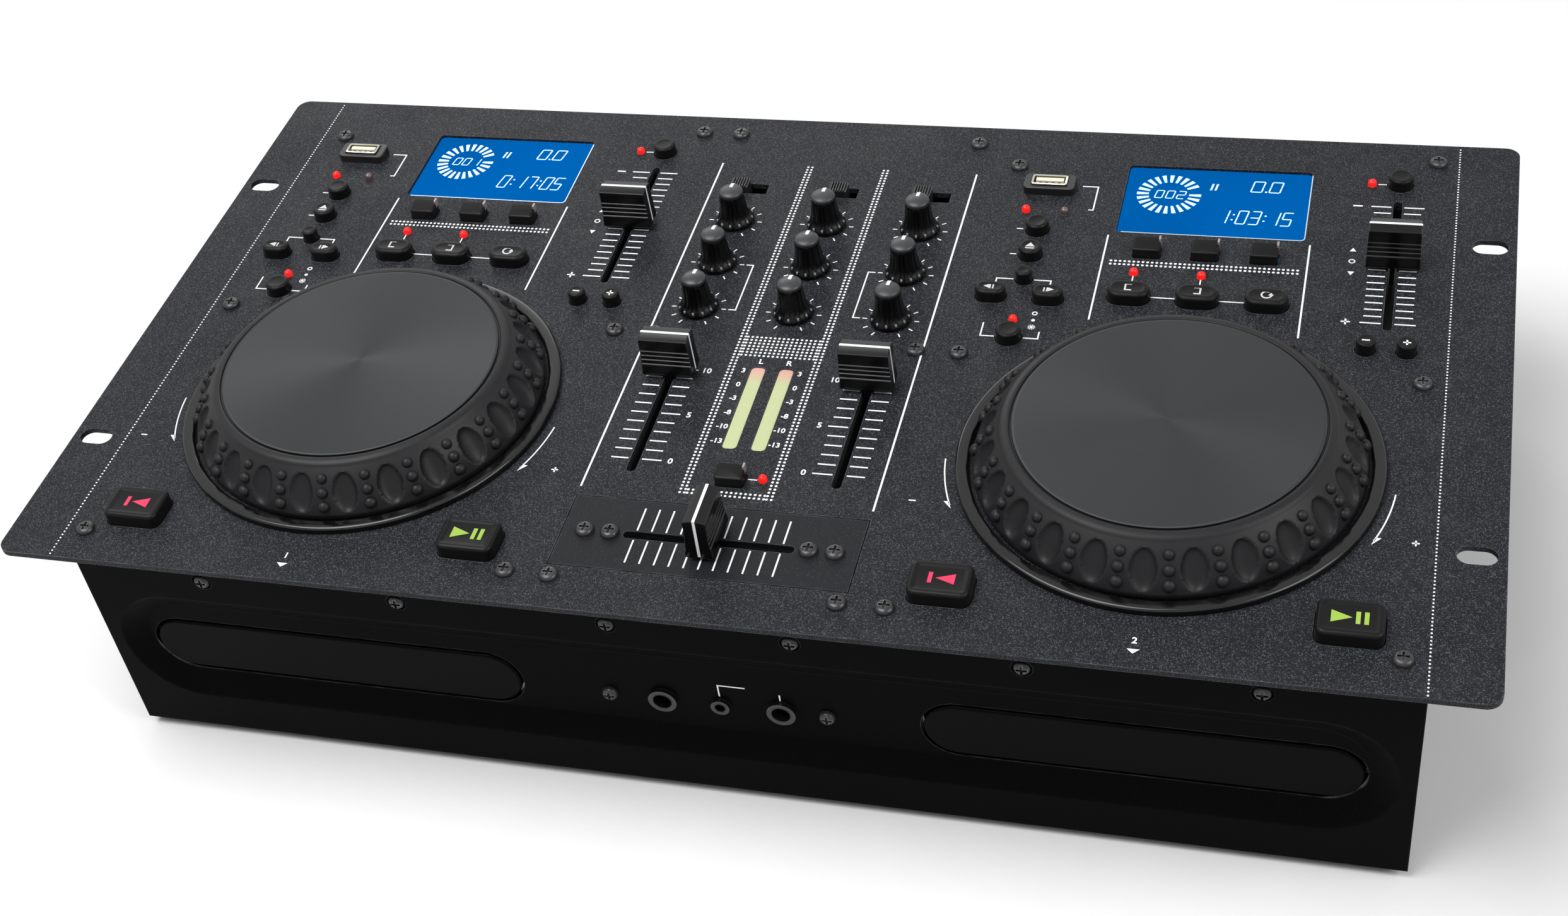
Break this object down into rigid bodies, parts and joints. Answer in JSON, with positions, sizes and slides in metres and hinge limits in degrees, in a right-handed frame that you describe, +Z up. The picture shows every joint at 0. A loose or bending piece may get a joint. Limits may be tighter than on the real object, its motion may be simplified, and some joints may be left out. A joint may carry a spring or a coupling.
{
  "type": "dual disc player and mixer",
  "caption": "Rack-mount dual disc player with a DJ mixer: jog wheels, faders, knobs, lit displays and front disc trays in a black steel case.",
  "frame": {"origin": "under the middle of the panel, on the surface that the feet stand on", "axes": "+X to the user's right, +Y to the back, +Z up"},
  "size_m": [0.4826, 0.2658, 0.117],
  "materials": {
    "panel_black": "satin powder coat",
    "front_black": "satin paint",
    "case_black": "satin paint",
    "foot_rubber": "matte",
    "screw_black": "black oxide",
    "screen_blue": "gloss",
    "lamp_red": "gloss",
    "meter_lens": "frosted",
    "socket_black": "satin",
    "ring_gloss": "gloss",
    "steel": "brushed",
    "jack_black": "satin",
    "board_green": "solder mask",
    "wheel_black": "matte",
    "fader_black": "satin",
    "key_rubber": "matte",
    "knob_black": "satin",
    "tray_black": "satin",
    "drive_steel": "zinc plated",
    "turntable_plastic": "satin"
  },
  "bodies": {
    "case": {"top_panel": "panel_black", "front_panel": "front_black", "base_tray": "case_black", "rubber_feet": "foot_rubber", "case_screws": "screw_black", "crossfader_plate": "panel_black", "lcd_displays": "screen_blue", "indicator_leds": "lamp_red", "level_meters": "meter_lens", "usb_sockets": "socket_black", "jog_rings": "ring_gloss", "jog_spindles": "steel", "front_jacks": "jack_black", "rear_connectors": "jack_black", "control_board": "board_green", "power_supply": "board_green", "disc_drives": "drive_steel"},
    "jog_wheel_1": {"jog_wheel_1": "wheel_black"},
    "disc_tray_1": {"disc_tray_1": "tray_black"},
    "turntable_1": {"turntable_1": "turntable_plastic"},
    "pitch_fader_1": {"pitch_fader_1": "fader_black"},
    "jog_wheel_2": {"jog_wheel_2": "wheel_black"},
    "disc_tray_2": {"disc_tray_2": "tray_black"},
    "turntable_2": {"turntable_2": "turntable_plastic"},
    "pitch_fader_2": {"pitch_fader_2": "fader_black"},
    "channel_fader_1": {"channel_fader_1": "fader_black"},
    "channel_fader_2": {"channel_fader_2": "fader_black"},
    "crossfader": {"crossfader": "fader_black"},
    "knob_1": {"knob_1": "knob_black"},
    "knob_2": {"knob_2": "knob_black"},
    "knob_3": {"knob_3": "knob_black"},
    "knob_4": {"knob_4": "knob_black"},
    "knob_5": {"knob_5": "knob_black"},
    "knob_6": {"knob_6": "knob_black"},
    "knob_7": {"knob_7": "knob_black"},
    "knob_8": {"knob_8": "knob_black"},
    "knob_9": {"knob_9": "knob_black"},
    "slide_switch_1": {"slide_switch_1": "socket_black"},
    "slide_switch_2": {"slide_switch_2": "socket_black"},
    "slide_switch_3": {"slide_switch_3": "socket_black"},
    "cue_button_1": {"cue_button_1": "key_rubber"},
    "play_button_1": {"play_button_1": "key_rubber"},
    "loop_keys_1": {"loop_keys_1": "key_rubber"},
    "display_keys_1": {"display_keys_1": "key_rubber"},
    "track_keys_1": {"track_keys_1": "key_rubber"},
    "pitch_bend_keys_1": {"pitch_bend_keys_1": "key_rubber"},
    "pitch_key_1": {"pitch_key_1": "key_rubber"},
    "media_keys_1": {"media_keys_1": "key_rubber"},
    "jog_mode_key_1": {"jog_mode_key_1": "key_rubber"},
    "cue_button_2": {"cue_button_2": "key_rubber"},
    "play_button_2": {"play_button_2": "key_rubber"},
    "loop_keys_2": {"loop_keys_2": "key_rubber"},
    "display_keys_2": {"display_keys_2": "key_rubber"},
    "track_keys_2": {"track_keys_2": "key_rubber"},
    "pitch_bend_keys_2": {"pitch_bend_keys_2": "key_rubber"},
    "pitch_key_2": {"pitch_key_2": "key_rubber"},
    "media_keys_2": {"media_keys_2": "key_rubber"},
    "jog_mode_key_2": {"jog_mode_key_2": "key_rubber"},
    "fader_start_key": {"fader_start_key": "key_rubber"},
    "power_switch": {"power_switch": "socket_black"}
  },
  "joints": [
    {"name": "jog_wheel_1_spin", "type": "hinge", "parent": "case", "child": "jog_wheel_1", "pos_m": [-0.1378, -0.04465, 0.0985], "axis": [0, 0, 1], "continuous": true},
    {"name": "disc_tray_1_slide", "type": "slide", "parent": "case", "child": "disc_tray_1", "axis": [0, -1, 0], "range_m": [0, 0.14]},
    {"name": "turntable_1_spin", "type": "hinge", "parent": "case", "child": "turntable_1", "pos_m": [-0.1378, -0.05075, 0.03], "axis": [0, 0, 1], "continuous": true},
    {"name": "pitch_fader_1_slide", "type": "slide", "parent": "case", "child": "pitch_fader_1", "axis": [0, 1, 0], "range_m": [-0.03, 0.03]},
    {"name": "jog_wheel_2_spin", "type": "hinge", "parent": "case", "child": "jog_wheel_2", "pos_m": [0.1378, -0.04465, 0.0985], "axis": [0, 0, 1], "continuous": true},
    {"name": "disc_tray_2_slide", "type": "slide", "parent": "case", "child": "disc_tray_2", "axis": [0, -1, 0], "range_m": [0, 0.14]},
    {"name": "turntable_2_spin", "type": "hinge", "parent": "case", "child": "turntable_2", "pos_m": [0.1378, -0.05075, 0.03], "axis": [0, 0, 1], "continuous": true},
    {"name": "pitch_fader_2_slide", "type": "slide", "parent": "case", "child": "pitch_fader_2", "axis": [0, 1, 0], "range_m": [-0.03, 0.03]},
    {"name": "channel_fader_1_slide", "type": "slide", "parent": "case", "child": "channel_fader_1", "axis": [0, 1, 0], "range_m": [-0.045, 0]},
    {"name": "channel_fader_2_slide", "type": "slide", "parent": "case", "child": "channel_fader_2", "axis": [0, 1, 0], "range_m": [-0.045, 0]},
    {"name": "crossfader_slide", "type": "slide", "parent": "case", "child": "crossfader", "axis": [1, 0, 0], "range_m": [-0.0225, 0.0225]},
    {"name": "knob_1_turn", "type": "hinge", "parent": "case", "child": "knob_1", "pos_m": [-0.035, 0.06735, 0.0985], "axis": [0, 0, -1], "range_deg": [-150, 150]},
    {"name": "knob_2_turn", "type": "hinge", "parent": "case", "child": "knob_2", "pos_m": [-0.035, 0.04175, 0.0985], "axis": [0, 0, -1], "range_deg": [-150, 150]},
    {"name": "knob_3_turn", "type": "hinge", "parent": "case", "child": "knob_3", "pos_m": [-0.035, 0.01615, 0.0985], "axis": [0, 0, -1], "range_deg": [-150, 150]},
    {"name": "knob_4_turn", "type": "hinge", "parent": "case", "child": "knob_4", "pos_m": [0, 0.06735, 0.0985], "axis": [0, 0, -1], "range_deg": [-150, 150]},
    {"name": "knob_5_turn", "type": "hinge", "parent": "case", "child": "knob_5", "pos_m": [0, 0.04175, 0.0985], "axis": [0, 0, -1], "range_deg": [-150, 150]},
    {"name": "knob_6_turn", "type": "hinge", "parent": "case", "child": "knob_6", "pos_m": [0, 0.01615, 0.0985], "axis": [0, 0, -1], "range_deg": [-150, 150]},
    {"name": "knob_7_turn", "type": "hinge", "parent": "case", "child": "knob_7", "pos_m": [0.035, 0.06735, 0.0985], "axis": [0, 0, -1], "range_deg": [-150, 150]},
    {"name": "knob_8_turn", "type": "hinge", "parent": "case", "child": "knob_8", "pos_m": [0.035, 0.04175, 0.0985], "axis": [0, 0, -1], "range_deg": [-150, 150]},
    {"name": "knob_9_turn", "type": "hinge", "parent": "case", "child": "knob_9", "pos_m": [0.035, 0.01615, 0.0985], "axis": [0, 0, -1], "range_deg": [-150, 150]},
    {"name": "slide_switch_1_slide", "type": "slide", "parent": "case", "child": "slide_switch_1", "axis": [1, 0, 0], "range_m": [0, 0.0064]},
    {"name": "slide_switch_2_slide", "type": "slide", "parent": "case", "child": "slide_switch_2", "axis": [1, 0, 0], "range_m": [-0.0032, 0.0032]},
    {"name": "slide_switch_3_slide", "type": "slide", "parent": "case", "child": "slide_switch_3", "axis": [1, 0, 0], "range_m": [0, 0.0064]},
    {"name": "cue_button_1_press", "type": "slide", "parent": "case", "child": "cue_button_1", "axis": [0, 0, -1], "range_m": [0, 0.001], "stiffness_N_per_m": 400, "springref_m": -0.0005},
    {"name": "play_button_1_press", "type": "slide", "parent": "case", "child": "play_button_1", "axis": [0, 0, -1], "range_m": [0, 0.001], "stiffness_N_per_m": 400, "springref_m": -0.0005},
    {"name": "loop_keys_1_press", "type": "slide", "parent": "case", "child": "loop_keys_1", "axis": [0, 0, -1], "range_m": [0, 0.0005], "stiffness_N_per_m": 400, "springref_m": -0.0005},
    {"name": "display_keys_1_press", "type": "slide", "parent": "case", "child": "display_keys_1", "axis": [0, 0, -1], "range_m": [0, 0.0005], "stiffness_N_per_m": 400, "springref_m": -0.0005},
    {"name": "track_keys_1_press", "type": "slide", "parent": "case", "child": "track_keys_1", "axis": [0, 0, -1], "range_m": [0, 0.0005], "stiffness_N_per_m": 400, "springref_m": -0.0005},
    {"name": "pitch_bend_keys_1_press", "type": "slide", "parent": "case", "child": "pitch_bend_keys_1", "axis": [0, 0, -1], "range_m": [0, 0.0005], "stiffness_N_per_m": 400, "springref_m": -0.0005},
    {"name": "pitch_key_1_press", "type": "slide", "parent": "case", "child": "pitch_key_1", "axis": [0, 0, -1], "range_m": [0, 0.0005], "stiffness_N_per_m": 400, "springref_m": -0.0005},
    {"name": "media_keys_1_press", "type": "slide", "parent": "case", "child": "media_keys_1", "axis": [0, 0, -1], "range_m": [0, 0.0005], "stiffness_N_per_m": 400, "springref_m": -0.0005},
    {"name": "jog_mode_key_1_press", "type": "slide", "parent": "case", "child": "jog_mode_key_1", "axis": [0, 0, -1], "range_m": [0, 0.0005], "stiffness_N_per_m": 400, "springref_m": -0.0005},
    {"name": "cue_button_2_press", "type": "slide", "parent": "case", "child": "cue_button_2", "axis": [0, 0, -1], "range_m": [0, 0.001], "stiffness_N_per_m": 400, "springref_m": -0.0005},
    {"name": "play_button_2_press", "type": "slide", "parent": "case", "child": "play_button_2", "axis": [0, 0, -1], "range_m": [0, 0.001], "stiffness_N_per_m": 400, "springref_m": -0.0005},
    {"name": "loop_keys_2_press", "type": "slide", "parent": "case", "child": "loop_keys_2", "axis": [0, 0, -1], "range_m": [0, 0.0005], "stiffness_N_per_m": 400, "springref_m": -0.0005},
    {"name": "display_keys_2_press", "type": "slide", "parent": "case", "child": "display_keys_2", "axis": [0, 0, -1], "range_m": [0, 0.0005], "stiffness_N_per_m": 400, "springref_m": -0.0005},
    {"name": "track_keys_2_press", "type": "slide", "parent": "case", "child": "track_keys_2", "axis": [0, 0, -1], "range_m": [0, 0.0005], "stiffness_N_per_m": 400, "springref_m": -0.0005},
    {"name": "pitch_bend_keys_2_press", "type": "slide", "parent": "case", "child": "pitch_bend_keys_2", "axis": [0, 0, -1], "range_m": [0, 0.0005], "stiffness_N_per_m": 400, "springref_m": -0.0005},
    {"name": "pitch_key_2_press", "type": "slide", "parent": "case", "child": "pitch_key_2", "axis": [0, 0, -1], "range_m": [0, 0.0005], "stiffness_N_per_m": 400, "springref_m": -0.0005},
    {"name": "media_keys_2_press", "type": "slide", "parent": "case", "child": "media_keys_2", "axis": [0, 0, -1], "range_m": [0, 0.0005], "stiffness_N_per_m": 400, "springref_m": -0.0005},
    {"name": "jog_mode_key_2_press", "type": "slide", "parent": "case", "child": "jog_mode_key_2", "axis": [0, 0, -1], "range_m": [0, 0.0005], "stiffness_N_per_m": 400, "springref_m": -0.0005},
    {"name": "fader_start_key_press", "type": "slide", "parent": "case", "child": "fader_start_key", "axis": [0, 0, -1], "range_m": [0, 0.0005], "stiffness_N_per_m": 400, "springref_m": -0.0005},
    {"name": "power_switch_rock", "type": "hinge", "parent": "case", "child": "power_switch", "pos_m": [0.11, 0.12335, 0.0585], "axis": [1, 0, 0], "range_deg": [-18, 0]}
  ]
}
